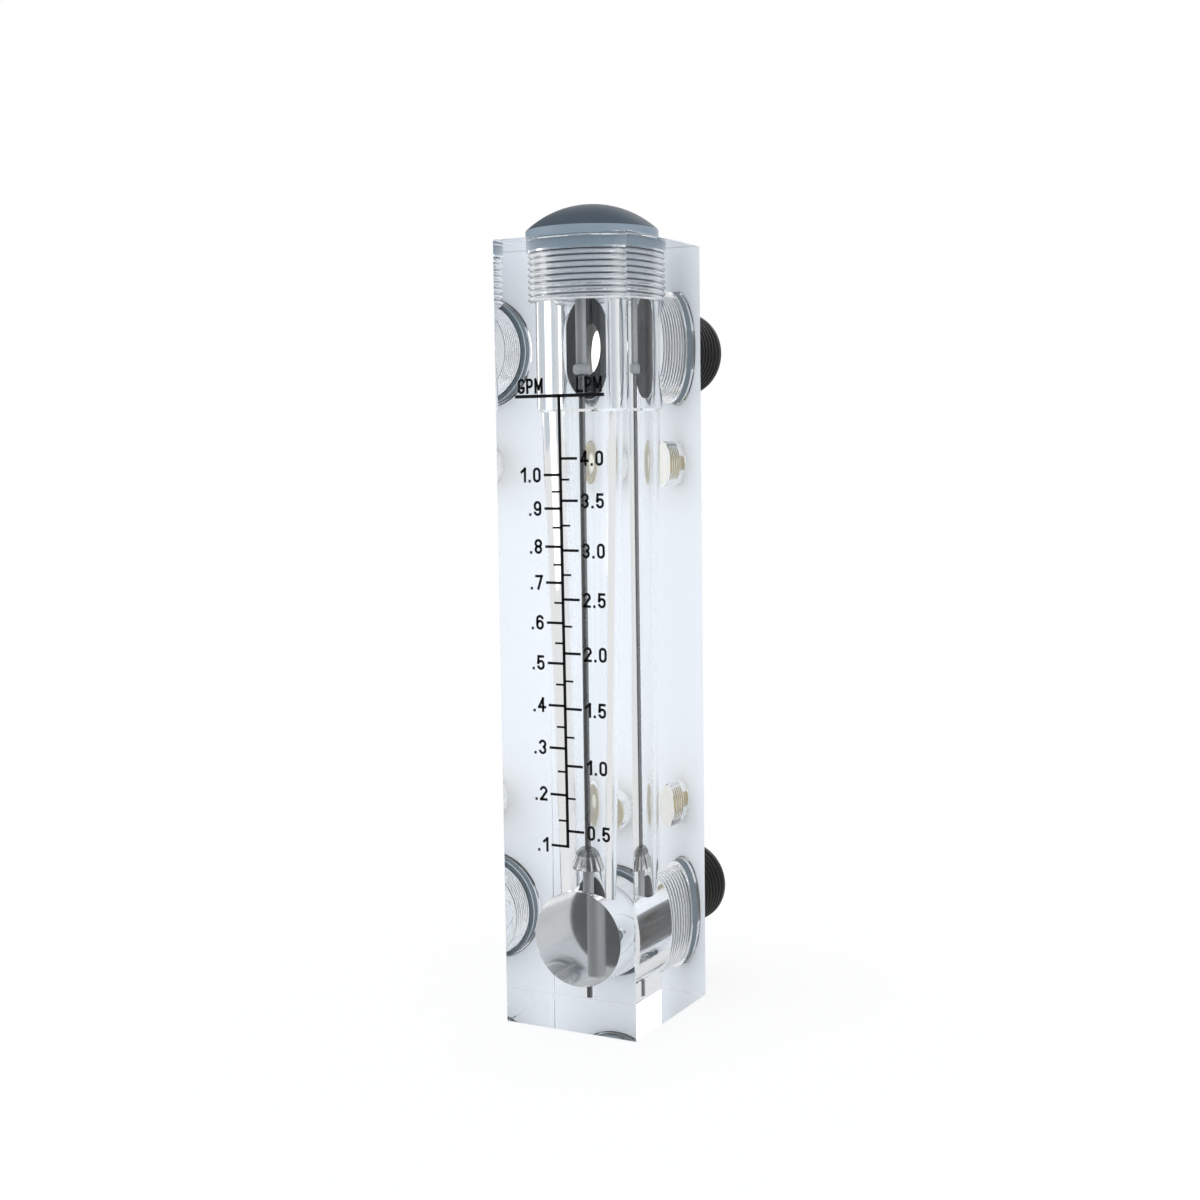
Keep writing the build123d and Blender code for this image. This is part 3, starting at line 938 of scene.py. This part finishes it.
class FLOWMETER_OT_inserts(Operator):
    """Makes the two brass inserts in the back face"""
    bl_idname = "flowmeter.inserts"
    bl_label = "Brass inserts"

    def execute(self, context):
        block = context.scene.meter_block_sizes
        brass = machined("Machined brass", context.scene.meter_finishes.brass, "Y",
                         fineness=6000.0, gloss=(0.22, 0.4))
        dull = machined("Tapped brass", context.scene.meter_finishes.tapped, "Y",
                        fineness=3000.0, gloss=(0.45, 0.6))
        for node in ("lower_mount_insert", "upper_mount_insert"):
            low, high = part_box(node)
            outer = (high.x - low.x) / 2
            inside = ridges(
                low.y + 0.9 * MM, high.y - 0.9 * MM, SCREW_PITCH, SCREW_CORE, SCREW_ROOT)
            outline = [
                (SCREW_MOUTH, low.y),
                (outer - 0.3 * MM, low.y),
                *hollows(low.y + BUSH_FOOT_PLAIN, high.y - BUSH_HEAD_PLAIN, block.insert_pitch,
                         outer, block.insert_tapped),
                (outer, high.y),
                (SCREW_MOUTH, high.y),
                *reversed(inside),
            ]
            mesh = turned(outline, closed=True, steps=SMALL_STEPS)
            for face in mesh.faces:
                if face.calc_center_median().xy.length < (SCREW_ROOT + SCREW_MOUTH) / 2:
                    face.material_index = 1
            lie_back(mesh, (low.z + high.z) / 2)
            place(finished(node + "_bush", mesh, [brass, dull]), "body", "brass", node)
        return {"FINISHED"}


class FLOWMETER_OT_rod(Operator):
    """Makes the guide rod, its two sleeves and the bead that stops the float"""
    bl_idname = "flowmeter.rod"
    bl_label = "Rod and sleeves"

    def execute(self, context):
        radius = context.scene.meter_moving_sizes.rod
        finishes = context.scene.meter_finishes
        # The rod's steel is painted dark as mirrored shade, and rod and sleeves get painted
        # reflection streaks
        steel = machined("Rod steel painted dark", finishes.rod, "Z", fineness=3000.0, gloss=(0.15, 0.3),
                         spread=0.8, reflection_streaks=1.5)
        tube = machined("Sleeve plastic", finishes.sleeve, "Z", fineness=2000.0,
                        gloss=(0.25, 0.4), spread=0.4, reflection_streaks=1.5, metal=0.0)
        pale = moulded("Bead plastic", finishes.bead, grain=2400.0, gloss=(0.4, 0.6), spread=0.3,
                       strength=0.4)
        low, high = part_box("guide_rod")
        outline = [(0.0, low.z), (radius, low.z), (radius, high.z), (0.0, high.z)]
        self.add("steel_rod", outline, False, EDGE_ROUND, steel, "stainless", "guide_rod")
        for node in ("lower_rod_sleeve", "upper_rod_sleeve"):
            low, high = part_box(node)
            inner = radius + 0.05 * MM
            outer = (high.x - low.x) / 2
            outline = [(inner, low.z), (outer, low.z), (outer, high.z), (inner, high.z)]
            self.add(node + "_tube", outline, True, EDGE_ROUND, tube, "sleeve_plastic", node)
        low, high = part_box("float_stop")
        inner = radius + 0.02 * MM
        bend = 1.0 * MM
        outer = (high.x - low.x) / 2 - bend
        outline = [
            (inner, low.z),
            *arc((outer, low.z + bend), bend, -90.0, 0.0, 8),
            *arc((outer, high.z - bend), bend, 0.0, 90.0, 8),
            (inner, high.z),
        ]
        self.add("stop_bead", outline, True, 0.0, pale, "stop_plastic", "float_stop")
        return {"FINISHED"}

    def add(self, name, outline, closed, rounding, material, slot, node):
        mesh = turned(outline, closed=closed, steps=SMALL_STEPS)
        if rounding:
            soften(mesh, rounding)
        stand(mesh, BORE_Y, 0.0)
        place(finished(name, mesh, [material]), "body", slot, node)


class FLOWMETER_OT_float(Operator):
    """Makes the steel float that slides on the rod"""
    bl_idname = "flowmeter.float"
    bl_label = "Float"

    def execute(self, context):
        sizes = context.scene.meter_moving_sizes
        # The float's steel and crown get dark and bright streaks round the axis as painted
        # reflections
        steel = machined("Float steel", context.scene.meter_finishes.steel, "Z",
                         fineness=14000.0, gloss=(0.06, 0.16), spread=0.88, reflection_streaks=4.0)
        crown = machined("Float crown steel", context.scene.meter_finishes.crown, "Z",
                         fineness=9000.0, gloss=(0.25, 0.4), spread=0.6, reflection_streaks=4.0)
        low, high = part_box("float")
        inner = sizes.rod + 0.1 * MM
        shoulder_z = low.z + sizes.shoulder_height
        wide = sizes.shoulder - sizes.nose
        drop = high.z - shoulder_z
        ball = (wide ** 2 + drop ** 2) / (2 * drop)
        edge_angle = math.degrees(math.acos(wide / ball))
        outline = [
            (inner, low.z),
            (sizes.float_radius, low.z),
            (sizes.float_radius, low.z + sizes.float_rim),
            *arc((sizes.nose, high.z - ball), ball, edge_angle, 90.0, 10),
            (inner, high.z),
        ]
        mesh = turned(outline, closed=True, steps=96)
        soften(mesh, 0.08 * MM, 18.0)
        give(mesh, 1, shoulder_z, high.z + WELD_DISTANCE)
        stand(mesh, BORE_Y, 0.0)
        place(finished("steel_float", mesh, [steel, crown]), "float", "stainless", "float")
        return {"FINISHED"}


def halfway(heights):
    """Every numbered mark's height, with those halfway between them."""
    pairs = zip(heights, heights[1:])
    return [place_at * MM for low, high in pairs for place_at in (low, (low + high) / 2)] + [
        heights[-1] * MM]


class FLOWMETER_OT_scale(Operator):
    """Prints the two flow scales on the front face"""
    bl_idname = "flowmeter.scale"
    bl_label = "Printed scale"

    def execute(self, context):
        sizes = context.scene.meter_print_sizes
        self.middle_y = BLOCK_LOW.y - 0.005 * MM - sizes.ink / 2
        self.sizes = sizes
        self.mesh = bmesh.new()
        self.foot = GALLON_HEIGHTS[0] * MM
        self.head = SCALE_HEAD * MM
        foot, head = (Vector((self.lean(end), end)) for end in (self.foot, self.head))
        self.stroke(foot, head, sizes.mark_width / 2, sizes.line_width)
        self.bar(*[end * MM for end in CROSS_LINE], self.head, sizes.line_width / 2)
        for side, heights in ((-1, GALLON_HEIGHTS), (1, LITRE_HEIGHTS)):
            for step, height in enumerate(halfway(heights)):
                self.mark(height, side, step % 2 == 0)
        ink = moulded("Scale ink", context.scene.meter_finishes.ink, grain=5000.0,
                      gloss=(0.5, 0.7), shine=0.12)
        aside = sizes.long_mark + FIGURE_SPACE * MM
        box = (sizes.figure_width, sizes.figure_height, sizes.figure_gap)
        for step, height in enumerate(GALLON_HEIGHTS, 1):
            figures = "1.0" if step == 10 else "." + str(step)
            self.words(figures, self.lean(height * MM) - aside, height * MM, -1, *box)
        for step, height in enumerate(LITRE_HEIGHTS, 1):
            self.words("%.1f" % (step / 2), self.lean(height * MM) + aside, height * MM, 1, *box)
        for word, x, z, side in WORDS:
            self.words(word, x * MM, z * MM, side, sizes.letter_width, sizes.letter_height,
                       sizes.letter_gap)
        bmesh.ops.recalc_face_normals(self.mesh, faces=self.mesh.faces)
        place(finished("scale_print", self.mesh, [ink], smooth=False), "body", "black_plastic")
        return {"FINISHED"}

    def slab(self, wide, tall, matrix):
        """Adds a flat box of ink and puts it in its place."""
        verts = bmesh.ops.create_cube(self.mesh, size=1.0)["verts"]
        bmesh.ops.scale(self.mesh, vec=(wide, self.sizes.ink, tall), verts=verts)
        bmesh.ops.transform(self.mesh, matrix=matrix, verts=verts)

    def bar(self, left, right, height, half):
        shift = Matrix.Translation(((left + right) / 2, self.middle_y, height))
        self.slab(right - left, 2 * half, shift)

    def lean(self, height):
        """How far the scale's long line stands from the middle at a height."""
        share = (height - self.foot) / (self.head - self.foot)
        return self.sizes.lean_foot * (1 - share) - self.sizes.lean_head * share

    def mark(self, height, side, numbered):
        line = self.lean(height)
        reach = self.sizes.long_mark if numbered else self.sizes.short_mark
        half = self.sizes.mark_width / 2 * (1 if numbered else SHORT_MARK_SHARE)
        ends = sorted((line, line + side * reach))
        self.bar(*ends, height, half)

    def words(self, text, x, z, side, wide, tall, gap):
        """Draws a word that ends at x, or starts there, with its middle at the height z."""
        pen = self.sizes.pen
        tall -= pen
        widths = [GLYPH_WIDTHS.get(letter, 1.0) * wide + pen for letter in text]
        if side < 0:
            x -= sum(widths) + gap * (len(text) - 1)
        foot = z - tall / 2
        for letter, width in zip(text, widths):
            corner = Vector((x + pen / 2, foot))
            for part in GLYPHS[letter]:
                if len(part) == 3:
                    self.ring(corner, wide, part[0] * tall, part[1] * tall, part[2])
                else:
                    ends = [corner + Vector((part[at] * wide, part[at + 1] * tall))
                            for at in (0, 2)]
                    self.stroke(*ends, pen / 2, pen)
            x += width + gap

    def ring(self, corner, wide, foot, head, parts):
        """Draws the named parts of a ring whose corners are round."""
        bend = min(wide, head - foot) / 2
        sides = {
            "4": ((0, foot + bend), (0, head - bend)),
            "6": ((wide, foot + bend), (wide, head - bend)),
            "8": ((bend, head), (wide - bend, head)),
            "2": ((bend, foot), (wide - bend, foot)),
        }
        for part in parts:
            if part in CORNERS:
                right, top, quarter = CORNERS[part]
                x = wide - bend if right else bend
                z = head - bend if top else foot + bend
                self.bow(corner + Vector((x, z)), bend, quarter * math.pi / 2)
            else:
                start, end = (corner + Vector(place_at) for place_at in sides[part])
                self.stroke(start, end, 0.0, self.sizes.pen)

    def bow(self, centre, bend, angle):
        """Sweeps the pen's section through a quarter turn."""
        made = bmesh.ops.create_cube(self.mesh, size=1.0)
        section = [vert for vert in made["verts"] if vert.co.z > 0]
        spare = [vert for vert in made["verts"] if vert.co.z < 0]
        bmesh.ops.delete(self.mesh, geom=spare, context="VERTS")
        pen = Vector((self.sizes.pen, self.sizes.ink, 0.0))
        bmesh.ops.scale(self.mesh, vec=pen, verts=section)
        middle = Vector((centre.x, self.middle_y, centre.y))
        place_at = Matrix.Translation(middle) @ Matrix.Rotation(-angle, 4, "Y")
        place_at = place_at @ Matrix.Translation((bend, 0.0, 0.0))
        bmesh.ops.transform(self.mesh, matrix=place_at, verts=section)
        face = section[0].link_faces[0]
        bmesh.ops.spin(
            self.mesh, geom=[*section, *face.edges, face], cent=middle, axis=(0, -1, 0),
            angle=math.pi / 2, steps=BOW_STEPS, use_merge=False, use_duplicate=False,
        )

    def stroke(self, start, end, cap, width):
        """Draws a straight stroke whose square ends reach past its two places by the cap."""
        reach = end - start
        if reach.length < WELD_DISTANCE:
            return
        middle = (start + end) / 2
        turn = Matrix.Rotation(-math.atan2(reach.y, reach.x), 4, "Y")
        shift = Matrix.Translation((middle.x, self.middle_y, middle.y))
        self.slab(reach.length + 2 * cap, width, shift @ turn)


def veil(tree, rays):
    """How bright the studio is: white, and dimmer where a surface only mirrors it."""
    through = math_node(tree, "SUBTRACT", 1.0, rays["Is Transmission Ray"])
    mirrored = math_node(tree, "MULTIPLY", rays["Is Glossy Ray"], through)
    lost = math_node(tree, "MULTIPLY", mirrored, MIRROR_LOSS)
    return math_node(tree, "SUBTRACT", 1.0, lost)


class FLOWMETER_OT_stage(Operator):
    """Sets the floor, the lights, the surroundings and the camera"""
    bl_idname = "flowmeter.stage"
    bl_label = "Stage"

    def execute(self, context):
        self.floor()
        self.lights()
        self.surroundings(context.scene)
        self.camera(context.scene)
        rays = context.scene.cycles
        rays.max_bounces = rays.transmission_bounces = rays.transparent_max_bounces = 40
        rays.glossy_bounces = 24
        return {"FINISHED"}

    def floor(self):
        mesh = bmesh.new()
        bmesh.ops.create_grid(mesh, x_segments=1, y_segments=1, size=FLOOR_REACH)
        stand(mesh, 0.0, BLOCK_LOW.z - 0.05 * MM)
        material, tree, shader, places = blank_material("Pale floor")
        feed(tree, shader, {"Base Color": FLOOR_COLOUR, "Roughness": FLOOR_ROUGHNESS})
        away = add_node(tree, "ShaderNodeVectorMath", {0: places}, operation="LENGTH")
        fade = smooth_range(tree, away.outputs["Value"], *FLOOR_FADE, 0.8, 1.0)
        rays = tree.nodes.new("ShaderNodeLightPath").outputs
        seen = math_node(tree, "MAXIMUM", rays["Is Camera Ray"], rays["Is Glossy Ray"])
        seen = math_node(tree, "MAXIMUM", seen, rays["Is Transmission Ray"])
        through = math_node(tree, "MULTIPLY", rays["Is Transmission Ray"], FLOOR_LOSS)
        level = math_node(tree, "SUBTRACT", veil(tree, rays), through)
        glow = add_node(tree, "ShaderNodeEmission", {"Strength": level}).outputs[0]
        share = math_node(tree, "MULTIPLY", seen, fade)
        feed(tree, tree.nodes["Material Output"], {
            "Surface": mixed_shader(tree, share, shader.outputs[0], glow)})
        plane = finished("floor", mesh, [material], smooth=False)
        plane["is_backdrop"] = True

    def lights(self):
        for name, power, spot in LAMPS:
            lamp = bpy.data.lights.new(name, "AREA")
            lamp.energy = power
            lamp.size = LAMP_SIZE
            lamp_object = bpy.data.objects.new(name, lamp)
            aim = LAMP_TARGET - Vector(spot)
            lamp_object.location = spot
            lamp_object.rotation_euler = aim.to_track_quat("-Z", "Y").to_euler()
            bpy.context.scene.collection.objects.link(lamp_object)

    def surroundings(self, scene):
        """White to the camera, plain to what is lit, and a room to what mirrors or refracts."""
        world = bpy.data.worlds.new("Studio")
        scene.world = world
        world.use_nodes = True
        tree = world.node_tree
        tree.nodes.clear()
        places = tree.nodes.new("ShaderNodeTexCoord").outputs["Generated"]
        side = math_node(tree, "ABSOLUTE", place_along(tree, places, "X"))
        ramp = add_node(tree, "ShaderNodeValToRGB", {0: side})
        ramp.color_ramp.interpolation = "EASE"
        for stop, (share, tone) in zip(ramp.color_ramp.elements, ROOM_SIDES):
            stop.position = share
            stop.color = tone
        rays = tree.nodes.new("ShaderNodeLightPath").outputs
        outside = veil(tree, rays)
        skies = []
        height = place_along(tree, places, "Z")
        for tone, horizon, ceiling in ((PLAIN_SKY, 1.17, 0.95), (ramp.outputs[0], 0.88, 0.4)):
            level = smooth_range(tree, height, *SKY_SPAN, horizon, ceiling)
            strength = math_node(tree, "MULTIPLY", level, outside)
            sky = add_node(tree, "ShaderNodeBackground", {"Color": tone, "Strength": strength})
            skies.append(sky.outputs[0])
        white = add_node(tree, "ShaderNodeBackground", {"Color": (1, 1, 1, 1)}).outputs[0]
        bent = math_node(tree, "MAXIMUM", rays["Is Glossy Ray"], rays["Is Transmission Ray"])
        unseen = mixed_shader(tree, bent, *skies)
        add_node(tree, "ShaderNodeOutputWorld", {
            "Surface": mixed_shader(tree, rays["Is Camera Ray"], unseen, white)})

    def camera(self, scene):
        scene.view_settings.view_transform = "Standard"
        azimuth, elevation, roll = VIEW_AZIMUTH, VIEW_ELEVATION, VIEW_ROLL
        back = Vector((math.sin(azimuth) * math.cos(elevation),
                       -math.cos(azimuth) * math.cos(elevation), math.sin(elevation)))
        right = Vector((math.cos(azimuth), math.sin(azimuth), 0.0))
        up = back.cross(right)
        turned_right = math.cos(roll) * right + math.sin(roll) * up
        turned_up = -math.sin(roll) * right + math.cos(roll) * up
        lens = bpy.data.cameras.new("view")
        lens.sensor_width = SENSOR_WIDTH
        lens.lens = PHOTO_FOCAL_PIXELS / PHOTO_SIZE * SENSOR_WIDTH
        lens.clip_start = 0.01
        camera = bpy.data.objects.new("view", lens)
        axes = Matrix((turned_right, turned_up, back)).transposed()
        camera.matrix_world = Matrix.Translation(VIEW_PLACE) @ axes.to_4x4()
        scene.collection.objects.link(camera)
        scene.camera = camera


OPERATORS = (
    FLOWMETER_OT_block,
    FLOWMETER_OT_plug,
    FLOWMETER_OT_connectors,
    FLOWMETER_OT_inserts,
    FLOWMETER_OT_rod,
    FLOWMETER_OT_float,
    FLOWMETER_OT_scale,
    FLOWMETER_OT_stage,
)


class FLOWMETER_PT_panel(Panel):
    """Lists the flow meter's pieces, sizes and colours"""
    bl_idname = "FLOWMETER_PT_panel"
    bl_label = "Flow meter"
    bl_space_type = "VIEW_3D"
    bl_region_type = "UI"
    bl_category = "Flow meter"

    def draw(self, context):
        for operator in OPERATORS:
            self.layout.operator(operator.bl_idname)
        for group in SIZE_GROUPS:
            box = self.layout.box()
            settings = getattr(context.scene, group)
            for name in settings.__annotations__:
                box.prop(settings, name)


def register():
    for group, kind in SIZE_GROUPS.items():
        bpy.utils.register_class(kind)
        setattr(bpy.types.Scene, group, PointerProperty(type=kind))
    for kind in (*OPERATORS, FLOWMETER_PT_panel):
        bpy.utils.register_class(kind)


def unregister():
    for kind in (FLOWMETER_PT_panel, *reversed(OPERATORS)):
        bpy.utils.unregister_class(kind)
    for group, kind in reversed(list(SIZE_GROUPS.items())):
        delattr(bpy.types.Scene, group)
        bpy.utils.unregister_class(kind)


def main():
    register()
    for operator in OPERATORS:
        name = operator.bl_idname.split(".")[1]
        getattr(bpy.ops.flowmeter, name)()
    boxes = {"cad": CAD_BOX, "visual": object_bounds()}
    plain = {key: [list(corner) for corner in box] for key, box in boxes.items()}


if __name__ == "__main__":
    main()
